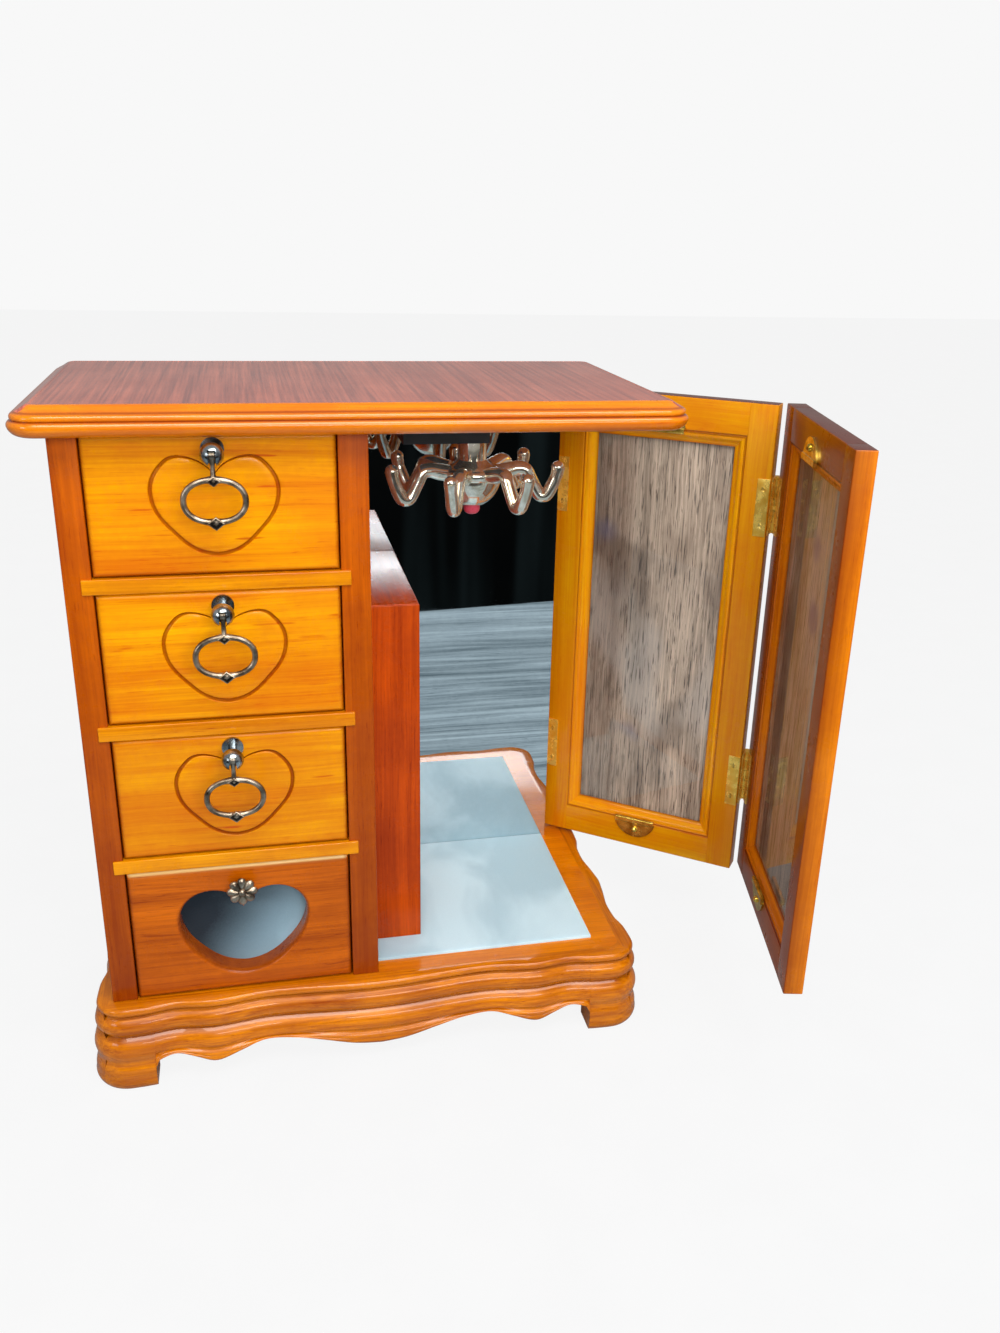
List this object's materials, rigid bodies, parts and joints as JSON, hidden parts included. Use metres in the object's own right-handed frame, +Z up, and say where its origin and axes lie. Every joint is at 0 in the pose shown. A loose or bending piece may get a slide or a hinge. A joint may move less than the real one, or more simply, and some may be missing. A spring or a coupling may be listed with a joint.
{
  "type": "vanity box with mirror",
  "caption": "Lacquered wooden vanity box with heart-carved drawers, a mirrored niche with a necklace carousel and two doors hinged in a chain.",
  "frame": {"origin": "the case's front left upright edge carried down to the floor, on the underside of the front left foot", "axes": "+X to the right seen from the drawers, +Y to the back, +Z up"},
  "size_m": [0.3277, 0.1793, 0.289],
  "materials": {
    "honey_wood": "gloss lacquer",
    "red_wood": "gloss lacquer",
    "plain_wood": "bare",
    "veneer": "matt",
    "mirror": "silvered",
    "glass": "clear",
    "brass": "polished",
    "pewter": "antique",
    "chrome": "bright plated",
    "black_plastic": "gloss",
    "pink_plastic": "gloss",
    "pale_velvet": "short pile",
    "blue_velvet": "short pile"
  },
  "bodies": {
    "case": {"plinth_front": "honey_wood", "plinth_right": "honey_wood", "plinth_rear": "honey_wood", "plinth_left": "honey_wood", "base_board": "honey_wood", "top_board": "honey_wood", "left_side": "red_wood", "partition": "red_wood", "back_panel": "red_wood", "rail_1": "honey_wood", "rail_2": "honey_wood", "rail_3": "honey_wood", "dust_panel_1": "plain_wood", "dust_panel_2": "plain_wood", "dust_panel_3": "plain_wood", "mirror": "mirror", "floor_pad": "pale_velvet", "step_box_front": "red_wood", "step_box_side": "red_wood", "step_box_top": "red_wood", "carousel_housing": "black_plastic", "side_hinge_case_leaves": "brass"},
    "carousel": {"carousel_hub": "chrome", "carousel_hooks": "chrome", "carousel_cap": "pink_plastic"},
    "side_door": {"side_door_stiles": "honey_wood", "side_door_rails": "honey_wood", "side_door_glass": "glass", "side_door_panel": "veneer", "side_hinge_door_leaves": "brass", "front_hinge_side_leaves": "brass"},
    "front_door": {"front_door_stiles": "honey_wood", "front_door_rails": "honey_wood", "front_door_glass": "glass", "front_door_panel": "veneer", "front_hinge_door_leaves": "brass"},
    "drawer_1": {"drawer_1_front": "honey_wood", "drawer_1_box": "plain_wood", "drawer_1_bottom": "plain_wood", "drawer_1_pull": "pewter"},
    "bail_1": {"bail_1": "pewter"},
    "drawer_2": {"drawer_2_front": "honey_wood", "drawer_2_box": "plain_wood", "drawer_2_bottom": "plain_wood", "drawer_2_pull": "pewter"},
    "bail_2": {"bail_2": "pewter"},
    "drawer_3": {"drawer_3_front": "honey_wood", "drawer_3_box": "plain_wood", "drawer_3_bottom": "plain_wood", "drawer_3_pull": "pewter"},
    "bail_3": {"bail_3": "pewter"},
    "drawer_4": {"drawer_4_front": "honey_wood", "drawer_4_box": "plain_wood", "drawer_4_bottom": "plain_wood", "drawer_4_knob": "pewter", "window_backing": "blue_velvet"},
    "side_door_lower_button": {"side_door_lower_button": "brass"},
    "side_door_upper_button": {"side_door_upper_button": "brass"},
    "front_door_lower_button": {"front_door_lower_button": "brass"},
    "front_door_upper_button": {"front_door_upper_button": "brass"}
  },
  "joints": [
    {"name": "carousel_spin", "type": "hinge", "parent": "case", "child": "carousel", "pos_m": [0.1615, 0.0505, 0.25], "axis": [0, 0, 1], "continuous": true},
    {"name": "side_door_hinge", "type": "hinge", "parent": "case", "child": "side_door", "pos_m": [0.2154, 0.1163, 0.16], "axis": [0, 0, 1], "range_deg": [-52.6, 67.4]},
    {"name": "front_door_hinge", "type": "hinge", "parent": "side_door", "child": "front_door", "pos_m": [0.30718, 0.05985, 0.16], "axis": [0, 0, 1], "range_deg": [-24.8, 150]},
    {"name": "drawer_1_slide", "type": "slide", "parent": "case", "child": "drawer_1", "axis": [0, -1, 0], "range_m": [0, 0.08]},
    {"name": "bail_1_hinge", "type": "hinge", "parent": "drawer_1", "child": "bail_1", "pos_m": [0.0562, -0.012, 0.2723], "axis": [-1, 0, 0], "range_deg": [-18, 90]},
    {"name": "drawer_2_slide", "type": "slide", "parent": "case", "child": "drawer_2", "axis": [0, -1, 0], "range_m": [0, 0.08]},
    {"name": "bail_2_hinge", "type": "hinge", "parent": "drawer_2", "child": "bail_2", "pos_m": [0.0562, -0.012, 0.213], "axis": [-1, 0, 0], "range_deg": [-18, 90]},
    {"name": "drawer_3_slide", "type": "slide", "parent": "case", "child": "drawer_3", "axis": [0, -1, 0], "range_m": [0, 0.08]},
    {"name": "bail_3_hinge", "type": "hinge", "parent": "drawer_3", "child": "bail_3", "pos_m": [0.0562, -0.012, 0.1537], "axis": [-1, 0, 0], "range_deg": [-18, 90]},
    {"name": "drawer_4_slide", "type": "slide", "parent": "case", "child": "drawer_4", "axis": [0, -1, 0], "range_m": [0, 0.08]},
    {"name": "side_door_lower_button_turn", "type": "hinge", "parent": "side_door", "child": "side_door_lower_button", "pos_m": [0.2586, 0.0839, 0.0506], "axis": [-0.6074, -0.7944, 0], "range_deg": [-180, 180]},
    {"name": "side_door_upper_button_turn", "type": "hinge", "parent": "side_door", "child": "side_door_upper_button", "pos_m": [0.2586, 0.0839, 0.2675], "axis": [-0.6074, -0.7944, 0], "range_deg": [-180, 180]},
    {"name": "front_door_lower_button_turn", "type": "hinge", "parent": "front_door", "child": "front_door_lower_button", "pos_m": [0.29589, 0.00704, 0.0506], "axis": [-0.9759, 0.2181, 0], "range_deg": [-180, 180]},
    {"name": "front_door_upper_button_turn", "type": "hinge", "parent": "front_door", "child": "front_door_upper_button", "pos_m": [0.29589, 0.00704, 0.2675], "axis": [-0.9759, 0.2181, 0], "range_deg": [-180, 180]}
  ]
}
